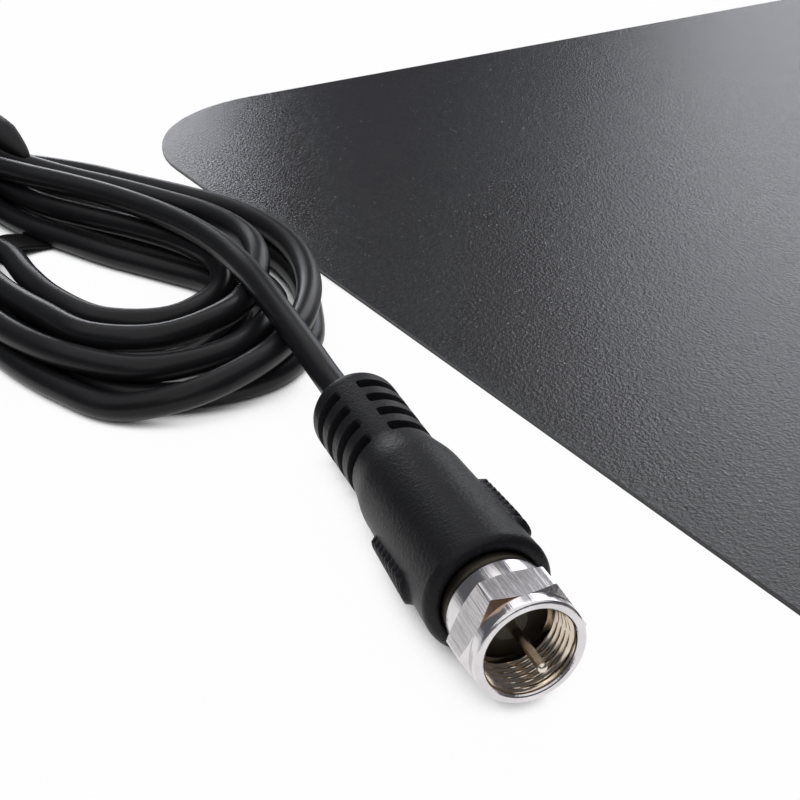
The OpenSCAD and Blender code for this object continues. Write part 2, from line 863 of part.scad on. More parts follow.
module plug_insulator() {
    t = post_flange_z;
    color([0.9, 0.89, 0.84])
        plug_frame()
            difference() {
                turned([
                    [-t, 0], [-t, insulator_d / 2], [-t - insulator_l, insulator_d / 2],
                    [-t - insulator_l, core_d / 2], [-boot_rear, core_d / 2], [-boot_rear, 0]
                ]);
                plug_wire(wire_d + 2 * gap, -boot_rear - cut, cut - t);
            }
}

// Length of the lead's centre wire in the plug, of twelve flat sides
module plug_wire(d, from, to) {
    translate([from, 0, 0]) rotate([0, 90, 0]) cylinder(d = d, h = to - from, $fn = 12);
}

// The centre wire with the contact pin on its end, seated on the insulator
module centre_pin() {
    bevel = 0.3;
    t = post_flange_z;
    color([0.8, 0.74, 0.66])
        plug_frame() {
            plug_wire(wire_d, -boot_rear, bevel - t);
            turned([
                [-t, 0], [-t, pin_d / 2], [pin_out - bevel, pin_d / 2],
                [pin_out, pin_d / 2 - bevel], [pin_out, 0]
            ]);
        }
}

// Hexagon nut, turned to a round collar in front and a round neck behind
module coupling_nut() {
    corner = nut_af / 2 / cos(30);
    neck_r = nut_af / 2 - 0.2;
    color([0.8, 0.79, 0.8])
        plug_frame()
            difference() {
                intersection() {
                    turned([
                        [0, 0], [0, collar_d / 2 - 0.2], [-0.25, collar_d / 2],
                        [-collar_l, collar_d / 2], [-collar_l - 0.5, corner - 0.15],
                        [-nut_l * 0.57, corner - 0.15], [-nut_l * 0.66, neck_r],
                        [-nut_l + 0.3, neck_r - 0.05], [-nut_l, neck_r - 0.3], [-nut_l, 0]
                    ]);
                    rotate([nut_turn, 0, 0]) rotate([0, 90, 0])
                        translate([0, 0, -nut_l - cut])
                            cylinder(r = corner, h = nut_l + 2 * cut, $fn = 6);
                }
                turned([
                    [cut, 0], [cut, mouth_d / 2], [0, mouth_d / 2],
                    [-(mouth_d - bore_d) / 2, bore_d / 2], [-bore_l, bore_d / 2], [-bore_l, 0]
                ]);
                turned([
                    [-bore_l + cut, 0], [-bore_l + cut, barrel_d / 2 + run_gap],
                    [-nut_l - cut, barrel_d / 2 + run_gap], [-nut_l - cut, 0]
                ]);
            }
}

back_sheet();
left_element();
right_element();
front_sheet();
box_base();
box_cover();
cover_screws();
contact_rivets();
circuit_board();
balun_core();
balun_winding();
earth_clamp();
lead_end();
lead_core();
lead_wire();
lead_grommet();
lead_link();
lead_hank();
lead_free_end();
hank_tie();
plug_boot();
plug_lead();
crimp_sleeve();
connector_body();
inner_post();
plug_insulator();
centre_pin();
coupling_nut();
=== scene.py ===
import bpy
import bmesh
import json
import math
from mathutils import Matrix, Vector


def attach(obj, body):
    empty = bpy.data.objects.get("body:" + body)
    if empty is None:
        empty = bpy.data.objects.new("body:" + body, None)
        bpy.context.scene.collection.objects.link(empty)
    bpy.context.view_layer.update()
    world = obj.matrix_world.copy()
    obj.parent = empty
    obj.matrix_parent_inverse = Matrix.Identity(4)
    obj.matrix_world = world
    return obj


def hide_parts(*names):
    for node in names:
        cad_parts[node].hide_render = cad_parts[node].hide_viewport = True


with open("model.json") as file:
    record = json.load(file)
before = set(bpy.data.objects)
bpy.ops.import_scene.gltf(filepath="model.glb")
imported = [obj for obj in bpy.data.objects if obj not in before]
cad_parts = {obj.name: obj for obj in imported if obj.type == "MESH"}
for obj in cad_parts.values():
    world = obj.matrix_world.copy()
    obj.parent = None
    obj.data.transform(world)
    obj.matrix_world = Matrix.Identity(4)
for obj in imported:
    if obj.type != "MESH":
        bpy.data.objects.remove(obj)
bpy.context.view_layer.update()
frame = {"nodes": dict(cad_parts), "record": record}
nodes = frame["nodes"]
MM = 0.001

# Camera, solved from the plug's rim, the sheet's corner and the lead's width
LENS, SENSOR = 63.0, 36.0
CAMERA_AT = (-0.26110, -0.14097, 0.09076)
CAMERA_TILT, CAMERA_TURN = 60.42, -32.21


def collect(obj):
    """Put an object into the scene."""
    bpy.context.collection.objects.link(obj)
    return obj


def mesh_object(name, verts, faces, smooth=None):
    """Mesh from points and faces; edges flatter than the angle smooth, in degrees, are shaded round."""
    me = bpy.data.meshes.new(name)
    me.from_pydata([tuple(v) for v in verts], [], faces)
    bm = bmesh.new()
    bm.from_mesh(me)
    bmesh.ops.remove_doubles(bm, verts=bm.verts, dist=1e-7)
    bmesh.ops.recalc_face_normals(bm, faces=bm.faces)
    bm.to_mesh(me)
    bm.free()
    if smooth is not None:
        for p in me.polygons:
            p.use_smooth = True
        me.set_sharp_from_angle(angle=math.radians(smooth))
    return collect(bpy.data.objects.new(name, me))


def curve_points(points, parts):
    """Points of the smooth curve through a row of points."""
    out = []
    last = len(points) - 1
    for i in range(last):
        a, b = points[max(i - 1, 0)], points[i]
        c, d = points[i + 1], points[min(i + 2, last)]
        for k in range(parts):
            u = k / parts
            out.append(0.5 * (2 * b + (c - a) * u + (2 * a - 5 * b + 4 * c - d) * u * u
                              + (3 * b - a - 3 * c + d) * u ** 3))
    out.append(points[last])
    return out


cam_data = bpy.data.cameras.new("camera")
cam_data.lens = LENS
cam_data.sensor_width = SENSOR
cam_data.clip_start = 0.005
cam_data.clip_end = 20.0
camera = collect(bpy.data.objects.new("camera", cam_data))
camera.location = CAMERA_AT
camera.rotation_euler = (math.radians(CAMERA_TILT), 0.0, math.radians(CAMERA_TURN))
bpy.context.scene.camera = camera


class Mat:
    """A node material: nodes are added by short calls and joined by name."""

    def __init__(self, name, **sockets):
        self.m = bpy.data.materials.new(name)
        self.m.use_nodes = True
        self.nt = self.m.node_tree
        self.bsdf = self.nt.nodes["Principled BSDF"]
        for key, value in sockets.items():
            socket = self.bsdf.inputs[key.replace("_", " ")]
            if hasattr(socket.default_value, "__len__") and len(value) == 3:
                value = (*value, 1.0)
            socket.default_value = value

    def node(self, kind, links=(), **props):
        n = self.nt.nodes.new("ShaderNode" + kind)
        for key, value in props.items():
            if key.startswith("in_"):
                name = key[3:].replace("_", " ")
                n.inputs[int(name) if name.isdigit() else name].default_value = value
            else:
                setattr(n, key, value)
        for source, target in links:
            self.nt.links.new(source, n.inputs[target])
        return n

    def link(self, source, target):
        self.nt.links.new(source, self.bsdf.inputs[target])

    def coords(self):
        return self.node("TexCoord").outputs["Object"]

    def noise(self, vector, scale, detail, rough):
        n = self.node("TexNoise", [(vector, "Vector")],
                      in_Scale=scale, in_Detail=detail, in_Roughness=rough)
        return n.outputs["Fac"]

    def ramp(self, fac, stops):
        """Colour between two stops, each a position and a colour."""
        r = self.node("ValToRGB", [(fac, "Fac")])
        for stop, (position, colour) in zip(r.color_ramp.elements, stops):
            stop.position = position
            stop.color = (*colour, 1.0)
        return r.outputs["Color"]

    def spread(self, fac, low, high):
        r = self.node("MapRange", [(fac, "Value")], in_To_Min=low, in_To_Max=high)
        return r.outputs["Result"]

    def bump(self, height, strength, distance, normal=None):
        links = [(height, "Height")]
        if normal is not None:
            links.append((normal, "Normal"))
        b = self.node("Bump", links, in_Strength=strength, in_Distance=distance)
        return b.outputs["Normal"]


# Part of a noise's range over which a colour drifts
DRIFT_FROM, DRIFT_TO = 0.3, 0.7


def grained(name, dark, light, rough, grain, depth, strength, blotch, **sockets):
    """Moulded or sheet plastic: slow colour drift, fine grain in bump and roughness.

    grain and blotch are the scales of the fine and the slow noise, depth and strength are the bump's."""
    m = Mat(name, **sockets)
    v = m.coords()
    slow = m.noise(v, blotch, 4.0, 0.6)
    fine = m.noise(v, grain, 2.0, 0.6)
    m.link(m.ramp(slow, [(DRIFT_FROM, dark), (DRIFT_TO, light)]), "Base Color")
    m.link(m.spread(fine, *rough), "Roughness")
    m.link(m.bump(fine, strength, depth), "Normal")
    return m.m


def jacket(name):
    """Extruded cable jacket: semi-gloss black, slightly uneven, with faint scuffs."""
    m = Mat(name, Specular_IOR_Level=0.22)
    v = m.coords()
    drift = m.noise(v, 60.0, 3.0, 0.5)
    fine = m.noise(v, 2600.0, 2.0, 0.5)
    scuff = m.noise(v, 240.0, 6.0, 0.7)
    dark, light = (0.010, 0.010, 0.011), (0.015, 0.015, 0.017)
    m.link(m.ramp(drift, [(DRIFT_FROM, dark), (DRIFT_TO, light)]), "Base Color")
    m.link(m.spread(scuff, 0.26, 0.38), "Roughness")
    m.link(m.bump(fine, 0.1, 0.00001, m.bump(drift, 0.02, 0.0004)), "Normal")
    return m.m


def metal(name, light, dark, rough, lines=None, strength=0.3):
    """Plated or brushed metal: tint drift and micro scratches.

    lines, a rotation and a scale, draws the scratches out into lines."""
    m = Mat(name, Metallic=1.0)
    v = m.coords()
    drift = m.noise(v, 300.0, 4.0, 0.6)
    m.link(m.ramp(drift, [(DRIFT_FROM, dark), (DRIFT_TO, light)]), "Base Color")
    scale, depth = 1500.0, 0.00002
    if lines:
        scale, depth = 2600.0, 0.00005
        v = m.node("Mapping", [(v, "Vector")], vector_type="TEXTURE",
                   in_Rotation=lines[0], in_Scale=lines[1]).outputs["Vector"]
    grain = m.noise(v, scale, 3.0, 0.6)
    m.link(m.spread(grain, *rough), "Roughness")
    m.link(m.bump(grain, strength, depth), "Normal")
    return m.m


# Direction of the plug on the floor, in degrees from +X
PLUG_AZIMUTH = -101.7
# Fine lines along the plug: the noise is drawn out forty times in that direction
PLUG_LINES = ((0.0, 0.0, math.radians(PLUG_AZIMUTH)), (40.0, 1.0, 1.0))
MATS = {
    "front_film": grained("front_film", (0.009, 0.009, 0.012), (0.013, 0.013, 0.017),
                          (0.2, 0.3), 2300.0, 0.00015, 0.8, 9.0, Specular_IOR_Level=0.4),
    "back_film": grained("back_film", (0.026, 0.026, 0.029), (0.034, 0.034, 0.037),
                         (0.5, 0.6), 1200.0, 0.00005, 0.3, 12.0),
    "foil": metal("foil", (0.8, 0.81, 0.82), (0.7, 0.71, 0.72), (0.25, 0.4)),
    "box_plastic": grained("box_plastic", (0.017, 0.017, 0.019), (0.026, 0.026, 0.028),
                           (0.42, 0.6), 1400.0, 0.0001, 0.5, 60.0),
    "screw_steel": metal("screw_steel", (0.58, 0.58, 0.6), (0.45, 0.45, 0.46), (0.25, 0.45)),
    "rivet_brass": metal("rivet_brass", (0.8, 0.62, 0.32), (0.66, 0.5, 0.24), (0.3, 0.45)),
    "board": grained("board", (0.015, 0.09, 0.035), (0.02, 0.12, 0.05),
                     (0.35, 0.45), 900.0, 0.00003, 0.2, 120.0),
    "ferrite": grained("ferrite", (0.03, 0.028, 0.03), (0.05, 0.046, 0.05),
                       (0.5, 0.7), 1500.0, 0.00008, 0.5, 200.0),
    "copper": metal("copper", (0.85, 0.45, 0.28), (0.7, 0.33, 0.18), (0.2, 0.35)),
    "tinned_metal": metal("tinned_metal", (0.72, 0.72, 0.73), (0.6, 0.6, 0.61), (0.25, 0.45)),
    "jacket": jacket("jacket"),
    "insulation": grained("insulation", (0.68, 0.67, 0.62), (0.75, 0.74, 0.7),
                          (0.35, 0.5), 900.0, 0.00003, 0.2, 90.0),
    # Insulator's face deep in the mouth: painted shade and a painted brown reflection, darker than the
    # milky insulation
    "insulation_painted_shade": grained("insulation_painted_shade", (0.07, 0.058, 0.045), (0.1, 0.085, 0.065),
                              (0.35, 0.5), 900.0, 0.00003, 0.2, 90.0),
    "grommet_rubber": grained("grommet_rubber", (0.014, 0.014, 0.015), (0.024, 0.024, 0.025),
                              (0.5, 0.7), 1300.0, 0.00008, 0.5, 90.0),
    "tie_plastic": grained("tie_plastic", (0.006, 0.006, 0.007), (0.01, 0.01, 0.011),
                           (0.4, 0.55), 1100.0, 0.00005, 0.3, 90.0, Specular_IOR_Level=0.15),
    "boot_plastic": grained("boot_plastic", (0.009, 0.009, 0.011), (0.013, 0.013, 0.015),
                            (0.36, 0.5), 2200.0, 0.0001, 0.7, 70.0, Specular_IOR_Level=0.2),
    "nickel": metal("nickel", (0.78, 0.75, 0.77), (0.66, 0.63, 0.64),
                    (0.12, 0.24), PLUG_LINES, 0.6),
    "nickel_worn": metal("nickel_worn", (0.6, 0.42, 0.3), (0.42, 0.24, 0.15), (0.2, 0.3)),
    # Nickel darkened and browned: painted shade on the flange behind the nut and on the post deep in the
    # mouth
    "nickel_painted_shade": metal("nickel_painted_shade", (0.07, 0.06, 0.048), (0.035, 0.03, 0.024), (0.35, 0.5)),
    # Warm brown tint for the bore: a painted reflection
    "nickel_bore_painted_reflection": metal("nickel_bore_painted_reflection", (0.74, 0.66, 0.56), (0.54, 0.44, 0.34), (0.12, 0.24)),
    "pin_metal": metal("pin_metal", (0.8, 0.74, 0.66), (0.68, 0.6, 0.5), (0.15, 0.3)),
}
for sub in frame["record"]["subparts"]:
    ob = nodes[sub["node"]]
    ob.data.materials.clear()
    ob.data.materials.append(MATS[sub["material_slot"]])
# Painted shade deep in the mouth: the inner post and the insulator get darkened copies of their
# materials
nodes["inner_post"].data.materials[0] = MATS["nickel_painted_shade"]
nodes["plug_insulator"].data.materials[0] = MATS["insulation_painted_shade"]

# Lead, in millimetres: from the box round the sheet's corner to the hank
LEAD_R = 1.85
LINK = [(0, -134, 5.4), (0, -135.2, 5.4), (0, -136.5, 5.4), (-0.6, -141, 4.9), (-4, -145, 3.8),
        (-10, -148, 2.8), (-18, -149, 2.1), (-32, -149, 1.9), (-52, -148, 1.9), (-74, -146, 1.9),
        (-96, -145, 1.9), (-118, -145, 1.9), (-140, -145, 1.9), (-162, -145, 1.9), (-184, -143, 1.9),
        (-204, -138, 1.9), (-222, -129, 1.9), (-236, -116, 1.9), (-245, -99, 1.9), (-250, -80, 1.9),
        (-252, -60, 1.9), (-252, -40, 1.9), (-250, -20, 1.9), (-247, 0, 1.9), (-244, 20, 1.9),
        (-241, 40, 1.9), (-237, 60, 1.9), (-232, 78, 1.9), (-227, 94, 1.9)]
# Six turns of the hank and the free end up to the boot, in millimetres
HANK = [
    (-223.6, 110.8, 1.9), (-226.2, 120.5, 1.9), (-230.2, 129.6, 1.9), (-233.9, 138.9, 1.9),
    (-236.9, 148.4, 1.9), (-238.2, 158.3, 1.9), (-237.1, 168.2, 1.9), (-233, 177.3, 1.9),
    (-225.1, 183.1, 1.9), (-215.2, 184.6, 1.9), (-206, 181.2, 1.9), (-199.5, 173.8, 1.9),
    (-195.4, 164.6, 1.9), (-193.9, 154.8, 1.9), (-194.2, 144.8, 1.9), (-195.7, 134.9, 1.9),
    (-197.2, 125.1, 1.9), (-197, 115.1, 1.9), (-195.8, 105.1, 1.9), (-193, 95.7, 1.9),
    (-188.4, 86.8, 1.9), (-183.8, 77.9, 1.9), (-179.8, 68.8, 1.9), (-176.2, 59.5, 1.9),
    (-171.9, 50.2, 1.9), (-169.8, 40.5, 1.9), (-171, 30.4, 1.9), (-174.8, 20.4, 1.9),
    (-179.8, 11.8, 1.9), (-188, 6.2, 1.9), (-197.7, 6.4, 1.9), (-206, 10.9, 1.9),
    (-209.9, 20.1, 1.9), (-212.1, 29.8, 1.9), (-213.5, 39.7, 1.9), (-213.9, 49.4, 1.9),
    (-214.1, 59.4, 1.9), (-214.3, 69.5, 1.9), (-213.5, 79.7, 1.9), (-211.1, 89.6, 1.9),
    (-209.7, 99.1, 1.9), (-211.2, 109, 1.9), (-213.9, 118.6, 1.9), (-218.2, 127.3, 1.9),
    (-219, 132.4, 1.9), (-222.3, 136.8, 1.9), (-227.3, 145.3, 1.9), (-230, 154.9, 1.9),
    (-229.6, 164.9, 1.9), (-225.2, 173.6, 1.9), (-215.9, 176.5, 1.9), (-207.7, 171.5, 1.9),
    (-203.2, 162.6, 1.9), (-201.8, 152.8, 1.9), (-202.1, 142.8, 1.9), (-203.6, 132.9, 1.9),
    (-204.8, 123, 1.9), (-204.3, 113, 1.9), (-202.7, 103.3, 1.9), (-201.4, 93.2, 1.9),
    (-200.3, 83.3, 1.9), (-198.6, 73.5, 1.9), (-195.2, 64.1, 1.9), (-191.5, 54.8, 1.9),
    (-186.9, 45.9, 1.9), (-182.7, 36.8, 1.9), (-182.7, 27.1, 1.9), (-188.9, 20.6, 1.9),
    (-197.4, 16.4, 1.9), (-205.1, 21.6, 1.9), (-207.9, 31.2, 1.9), (-209.3, 40.8, 1.9),
    (-210.4, 50.6, 1.9), (-210.6, 60.7, 1.9), (-210.7, 70.7, 1.9), (-209.8, 80.3, 1.9),
    (-207.4, 89.8, 1.9), (-205.9, 99.7, 1.9), (-207.5, 109.5, 1.9), (-210.2, 119, 2.2),
    (-215.7, 127.2, 4.5), (-220.1, 130.3, 5), (-223.7, 133.6, 3.3), (-230.5, 140.9, 5.6),
    (-234.9, 150, 5.2), (-236.2, 159.7, 5.2), (-234.6, 169.6, 5.2), (-229.5, 178.1, 5.2),
    (-220.6, 182.2, 5.2), (-210.8, 181.5, 5.2), (-203, 175.4, 5.2), (-198.3, 166.7, 5.2),
    (-196, 157, 5.2), (-196, 147, 5.2), (-197.2, 137.1, 5.2), (-198.9, 127.2, 5.2),
    (-199.1, 117.3, 5.2), (-197.8, 107.4, 5.2), (-195.7, 97.7, 5.2), (-190, 89.6, 5.5),
    (-184.3, 81.4, 5.5), (-179.7, 72.5, 5.5), (-175.1, 63.7, 5.5), (-171.2, 54.5, 5.5),
    (-169.3, 44.7, 5.5), (-169.7, 34.7, 5.5), (-172.5, 25.2, 5.6), (-177.3, 16.4, 5.7),
    (-183.9, 8.9, 5.6), (-192.4, 3.8, 5.6), (-202.1, 3.2, 4.3), (-209.7, 8.9, 2.2),
    (-213.6, 18, 1.9), (-216.1, 27.7, 1.9), (-217.2, 37.6, 1.9), (-217.5, 47.7, 1.9),
    (-217.6, 57.7, 1.9), (-217.9, 67.8, 1.9), (-217.5, 77.7, 1.9), (-215.5, 87.5, 1.9),
    (-213.4, 97.3, 1.9), (-214.6, 107.2, 1.9), (-217.2, 116.8, 1.9), (-221.6, 125.7, 1.9),
    (-224.2, 129.7, 1.9), (-227.9, 132.9, 1.9), (-229.7, 138.5, 1.9), (-230.8, 143.5, 1.9),
    (-233.8, 152.9, 1.9), (-233.9, 162.9, 1.9), (-231.2, 172.5, 1.9), (-224.1, 179.1, 1.9),
    (-214.3, 180.4, 1.9), (-205.8, 175.6, 1.9), (-200.6, 167.1, 1.9), (-198, 157.5, 1.9),
    (-197.9, 147.5, 1.9), (-199, 137.5, 1.9), (-200.7, 127.7, 1.9), (-201, 117.7, 1.9),
    (-199.9, 107.7, 1.9), (-198.1, 98, 1.9), (-195.7, 88.3, 1.9), (-193, 78.6, 1.9),
    (-189.9, 69.1, 1.9), (-186.1, 59.9, 1.9), (-181.9, 50.8, 1.9), (-178.5, 41.4, 2.1),
    (-177.4, 31.6, 2.9), (-179.5, 22, 4), (-185.5, 14.2, 5), (-194.4, 9.3, 5.3),
    (-204.4, 10.8, 5.3), (-211.2, 18.5, 5.5), (-215, 27.8, 5.4), (-217.1, 37.8, 5.6),
    (-217.9, 47.7, 5.6), (-218.3, 57.7, 5.5), (-218.4, 67.7, 5.5), (-217.2, 77.6, 5.6),
    (-214, 87.1, 5.3), (-211.5, 96.8, 5.2), (-212.4, 106.7, 5.2), (-215.1, 116.3, 5.2),
    (-219.3, 125.1, 5.3), (-223.2, 128.7, 6.3), (-225, 133.8, 6.7), (-225.1, 139.6, 5.9),
    (-227.9, 143.5, 5.2), (-231.6, 152.5, 5.2), (-232, 162.4, 5.2), (-229.2, 171.9, 5.2),
    (-221.5, 177.9, 5.2), (-211.8, 177.5, 5.2), (-204.7, 170.7, 5.2), (-200.8, 161.5, 5.2),
    (-199.8, 151.6, 5.2), (-200.3, 141.6, 5.2), (-201.9, 131.7, 5.2), (-203, 121.8, 5.2),
    (-202.3, 111.9, 5.2), (-200.7, 101.9, 5.2), (-199.3, 92.1, 5.2), (-197.9, 82.2, 5.3),
    (-195.6, 72.5, 5.3), (-191.4, 63.4, 5.4), (-186.8, 54.6, 5.5), (-183, 45.3, 5.5),
    (-181.9, 35.5, 5.5), (-186.2, 26.7, 5.3), (-195.2, 23.1, 5), (-203.3, 27.6, 5.1),
    (-206.8, 36.4, 5.4), (-207.5, 46.2, 5.4), (-206.9, 55.9, 4.9), (-207.5, 65.8, 3.6),
    (-206.9, 75.9, 3), (-205.8, 85.5, 4.1), (-204.2, 95, 5), (-204.7, 105, 5.3),
    (-206.7, 114.6, 5.3), (-210.3, 123.8, 6.1), (-213.2, 127.8, 7.1), (-217.1, 131.9, 6.9),
    (-221.5, 134.2, 7.8), (-225.4, 137.3, 10.1), (-230.9, 145.7, 8.6), (-234.2, 155.1, 8.5),
    (-233.6, 165, 8.5), (-230.1, 174.3, 8.5), (-222, 179.8, 8.5), (-212.2, 179.8, 8.5),
    (-204.4, 173.9, 8.5), (-199.8, 165, 8.5), (-197.9, 155.3, 8.5), (-198, 145.3, 8.5),
    (-199.3, 135.4, 8.5), (-200.9, 125.5, 8.5), (-200.9, 115.6, 8.5), (-199.7, 105.6, 8.6),
    (-197.5, 95.9, 8.4), (-193.9, 86.6, 7.6), (-189.4, 77.7, 7.2), (-184.6, 68.9, 7.1),
    (-180.2, 59.9, 7), (-176.5, 50.7, 7), (-175.3, 40.8, 7.1), (-177.6, 31.1, 7.4),
    (-182.8, 22.8, 6.8), (-190.4, 15.8, 7.5), (-200.2, 14.6, 7.2), (-207.8, 20.6, 6.9),
    (-210.6, 30.2, 6.7), (-212.2, 39.8, 6.2), (-212.9, 49.5, 5.9), (-213.6, 59.5, 5.6),
    (-214.7, 69.5, 5.6), (-212.8, 79.3, 5.5), (-209.6, 88.7, 5.3), (-207.7, 98.5, 5.2),
    (-208.9, 108.3, 5.1), (-211.7, 117.9, 5.5), (-216.5, 126.4, 8), (-219, 130.4, 9.8),
    (-219.9, 136.2, 10.4), (-223.3, 140.2, 9.1), (-226.1, 144, 8.6), (-229.9, 153, 8.5),
    (-230.1, 162.9, 8.5), (-226.8, 172.2, 8.5), (-218.3, 176.8, 8.5), (-209.2, 173.6, 8.5),
    (-203.9, 165.2, 8.5), (-201.7, 155.5, 8.5), (-201.8, 145.5, 8.5), (-203, 135.6, 8.5),
    (-204.6, 125.8, 8.5), (-204.7, 115.8, 8.5), (-203.4, 105.9, 8.6), (-201.7, 96, 8.6),
    (-200.1, 86.2, 9), (-196.7, 76.9, 9.3), (-192.2, 68, 9.4), (-188.1, 58.9, 9.4),
    (-184.8, 49.4, 9.3), (-183, 39.6, 9.4), (-182.9, 29.6, 9.7), (-184, 19.5, 9.9),
    (-185.2, 9.8, 9.1), (-186, 0.6, 7.6), (-186.5, -6, 6.2), (-187.1, -12.3, 5.6),
]
line = [p * MM for p in curve_points([Vector(p) for p in LINK + HANK], 6)]
lead_data = bpy.data.curves.new("lead", "CURVE")
lead_data.dimensions = "3D"
lead_data.bevel_depth = LEAD_R * MM
lead_data.bevel_resolution = 5
lead_data.use_fill_caps = True
spline = lead_data.splines.new("POLY")
spline.points.add(len(line) - 1)
for sp, p in zip(spline.points, line):
    sp.co = (*p, 1.0)
spline.use_smooth = True
lead = collect(bpy.data.objects.new("lead", lead_data))
lead_data.materials.append(MATS["jacket"])
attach(lead, "antenna")
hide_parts("lead_link", "lead_hank", "lead_free_end")

# Plug frame, in millimetres: +X points out of the mouth, the origin is in the nut's front plane.
# A distance t is measured back from that plane.
PLUG_AT = Vector((-197.5, -62.75, 7.2))
PLUG_TILT, PLUG_ROLL, NUT_TURN = 1.8, 20.0, 11.5
plug_frame = (Matrix.Translation(PLUG_AT * MM)
              @ Matrix.Rotation(math.radians(PLUG_AZIMUTH), 4, "Z")
              @ Matrix.Rotation(math.radians(-PLUG_TILT), 4, "Y")
              @ Matrix.Rotation(math.radians(PLUG_ROLL), 4, "X")
              @ Matrix.Scale(MM, 4))
# Nut: distance across flats, length, round front collar, threaded bore and its mouth
NUT_AF, NUT_L, COLLAR_D, COLLAR_L = 11.4, 7.9, 11.36, 1.5
BORE_D, MOUTH_D, BORE_L = 9.0, 9.4, 6.2
# Post that the nut turns on, flange in front of the boot, and the play between metal parts
BARREL_D, FACE_D, PLAY = 6.5, 10.6, 0.05
# Boot: its two ends, and its widths at the front, the waist, the relief and the rear
BOOT_FRONT, BOOT_REAR, BOOT_D, WAIST_D, RELIEF_D, REAR_D = 9.3, 51.5, 13.7, 12.4, 10.7, 11.0
SHOULDER = (29.5, 36.0)
BOOT_EDGE_R, REAR_ROUND, TAIL_D = 1.1, 2.3, 6.6
# Slots of the strain relief, the spines between them and the core under them
SLOT_FIRST, SLOT_PITCH, SLOT_W, SLOT_N, SPINE_W, SLOT_CORE_D = 36.3, 3.53, 1.65, 4, 2.6, 6.8
# Grip pads: place, size, teeth and their slope in degrees
PAD_START, PAD_L, PAD_W, PAD_H, PAD_N, PAD_SLOPE = 14.4, 11.8, 4.6, 0.75, 10, 8.0


def smooth_step(u):
    """Soft step from 0 to 1."""
    u = min(max(u, 0.0), 1.0)
    return u * u * (3 - 2 * u)


def lathe(name, rows, angles, smooth, closed=True):
    """Skin over rings of points: each row gives t and radius at every angle.

    closed joins the last row to the first."""
    verts, faces = [], []
    n = len(angles)
    for row in rows:
        for (t, r), a in zip(row, angles):
            verts.append(plug_frame @ Vector((-t, -r * math.sin(a), r * math.cos(a))))
    m = len(rows)
    for i in range(m if closed else m - 1):
        for j in range(n):
            up, on = (i + 1) % m, (j + 1) % n
            faces.append((i * n + j, i * n + on, up * n + on, up * n + j))
    return mesh_object(name, verts, faces, smooth)


def even(count):
    """Angles that part a full turn evenly."""
    return [2 * math.pi * k / count for k in range(count)]


def turned(name, profile, count, smooth, closed=True):
    """Round piece: the same profile at every angle."""
    return lathe(name, [[p] * count for p in profile], even(count), smooth, closed)


def rounded_box(u, v, half_u, half_v, radius):
    """Signed distance in a plane to a rectangle with round corners: negative inside."""
    du, dv = abs(u) - half_u + radius, abs(v) - half_v + radius
    return math.hypot(max(du, 0.0), max(dv, 0.0)) + min(max(du, dv), 0.0) - radius


def boot_r(t):
    """Radius of the plain boot: a slow taper, a shoulder and the relief."""
    front, waist, relief, rear = BOOT_D / 2, WAIST_D / 2, RELIEF_D / 2, REAR_D / 2
    end = BOOT_REAR - REAR_ROUND
    if t < SHOULDER[0]:
        return front + (waist - front) * (t - BOOT_FRONT) / (SHOULDER[0] - BOOT_FRONT)
    if t < SHOULDER[1]:
        u = (t - SHOULDER[0]) / (SHOULDER[1] - SHOULDER[0])
        return waist + (relief - waist) * smooth_step(u)
    return relief + (rear - relief) * (t - SHOULDER[1]) / (end - SHOULDER[1])


# Slots: radius of their corners and width of their walls' ramp
SLOT_CORNER_R, SLOT_RAMP = 0.3, 0.24
# Pads: widest angle they reach, in radians, ramp of their edge, and share of height under the teeth
PAD_REACH, PAD_RAMP, PAD_BASE = 0.8, 0.7, 0.3


def boot_relief(t, a):
    """Height over the plain boot at a point: slots go in, the toothed grip pads stand proud."""
    r = boot_r(t)
    deep = 0.0
    for i in range(SLOT_N):
        u = t - SLOT_FIRST - i * SLOT_PITCH
        if abs(u) > SLOT_W:
            continue
        # The slot ends at the spines above and below
        off = math.asin(SPINE_W / 2 / r)
        side = math.fmod(a, math.pi)
        v = (side - math.pi / 2) * r
        d = rounded_box(u, v, SLOT_W / 2, (math.pi / 2 - off) * r, SLOT_CORNER_R)
        deep = max(deep, smooth_step((SLOT_RAMP / 2 - d) / SLOT_RAMP))
    lift = -deep * (r - SLOT_CORE_D / 2)
    if PAD_START - 1 < t < PAD_START + PAD_L + 1:
        slope = math.radians(PAD_SLOPE)
        for side in (1, -1):
            across = (a if side > 0 else 2 * math.pi - a) - math.pi / 2
            if abs(across) > PAD_REACH:
                continue
            z = -across * r
            x = t - PAD_START - PAD_L / 2
            u = x * math.cos(slope) - z * math.sin(slope)
            v = x * math.sin(slope) + z * math.cos(slope)
            d = rounded_box(u, v, PAD_L / 2, PAD_W / 2, PAD_W * 0.45)
            tooth = abs(math.sin(math.pi * (u + PAD_L / 2) / PAD_L * PAD_N)) ** 0.7
            height = PAD_BASE + (1 - PAD_BASE) * tooth
            lift = max(lift, smooth_step(-d / PAD_RAMP) * PAD_H * height)
    return lift


# Radius of the boot in the middle of the slots, in millimetres
SPINE_R = 5.4


